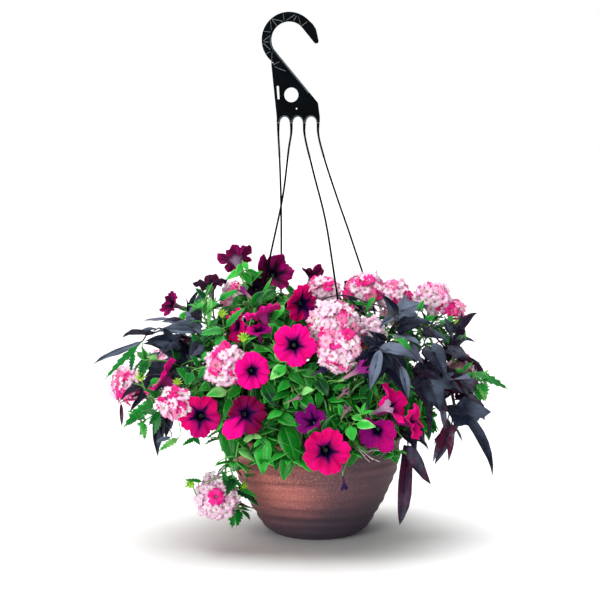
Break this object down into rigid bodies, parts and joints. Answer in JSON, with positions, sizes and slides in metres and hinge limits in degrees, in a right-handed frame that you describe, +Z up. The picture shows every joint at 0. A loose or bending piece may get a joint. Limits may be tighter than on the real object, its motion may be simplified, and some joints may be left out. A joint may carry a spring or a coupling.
{
  "type": "petunia hanging basket",
  "caption": "Hanging basket in bloom: magenta and wine-red petunias, pink verbena and dark trailing vine in a bowl-shaped resin pot on a black hook hanger.",
  "frame": {"origin": "middle of the pot's flat foot, on the pot's own axis", "axes": "+Z up along the pot's axis towards the hook, -Y towards the front that the picture shows, +X to the right of that view"},
  "size_m": [0.5988, 0.4252, 0.7554],
  "materials": {
    "pot": "terracotta-coloured resin, speckled and softly ribbed",
    "hanger": "black moulded plastic with a satin sheen",
    "soil": "crumbly potting mix",
    "petunia_green": "soft, slightly sticky green leaves and stems",
    "verbena_green": "rough, dull green leaves and stems",
    "vine_leaves": "blackish purple leaves with a blue-grey sheen",
    "magenta_petals": "velvety magenta petals with a dark throat",
    "burgundy_petals": "velvety wine-red petals, nearly black inside",
    "verbena_petals": "soft pale pink florets with hot pink middles"
  },
  "bodies": {
    "root": {"pot": "pot", "soil": "soil", "hanger_hook": "hanger", "strand_back_left": "hanger", "strand_front_left": "hanger", "strand_front_right": "hanger", "strand_back_right": "hanger", "petunia_magenta_01": "magenta_petals", "petunia_magenta_02": "magenta_petals", "petunia_magenta_03": "magenta_petals", "petunia_magenta_04": "magenta_petals", "petunia_magenta_05": "magenta_petals", "petunia_magenta_06": "magenta_petals", "petunia_magenta_07": "magenta_petals", "petunia_magenta_08": "magenta_petals", "petunia_magenta_09": "magenta_petals", "petunia_magenta_10": "magenta_petals", "petunia_magenta_11": "magenta_petals", "petunia_magenta_12": "magenta_petals", "petunia_magenta_13": "magenta_petals", "petunia_magenta_14": "magenta_petals", "petunia_magenta_15": "magenta_petals", "petunia_magenta_16": "magenta_petals", "petunia_magenta_17": "magenta_petals", "petunia_dark_01": "burgundy_petals", "petunia_dark_02": "burgundy_petals", "petunia_dark_03": "burgundy_petals", "petunia_dark_04": "burgundy_petals", "petunia_dark_05": "burgundy_petals", "petunia_dark_06": "burgundy_petals", "petunia_dark_07": "burgundy_petals", "verbena_head_01": "verbena_petals", "verbena_head_02": "verbena_petals", "verbena_head_03": "verbena_petals", "verbena_head_04": "verbena_petals", "verbena_head_05": "verbena_petals", "verbena_head_06": "verbena_petals", "verbena_head_07": "verbena_petals", "verbena_head_08": "verbena_petals", "verbena_head_09": "verbena_petals", "verbena_head_10": "verbena_petals", "verbena_head_11": "verbena_petals", "verbena_head_12": "verbena_petals", "verbena_head_13": "verbena_petals", "verbena_head_14": "verbena_petals", "petunia_plant_front_left": "petunia_green", "petunia_plant_front_centre": "petunia_green", "petunia_plant_front_right": "petunia_green", "petunia_plant_top": "petunia_green", "petunia_plant_back_left": "petunia_green", "petunia_plant_back_right": "petunia_green", "verbena_plant_left": "verbena_green", "verbena_plant_centre": "verbena_green", "verbena_plant_right": "verbena_green", "verbena_plant_back": "verbena_green", "vine_left": "vine_leaves", "vine_right_upper": "vine_leaves", "vine_right_front": "vine_leaves", "vine_right_side": "vine_leaves", "vine_back": "vine_leaves"}
  },
  "joints": []
}
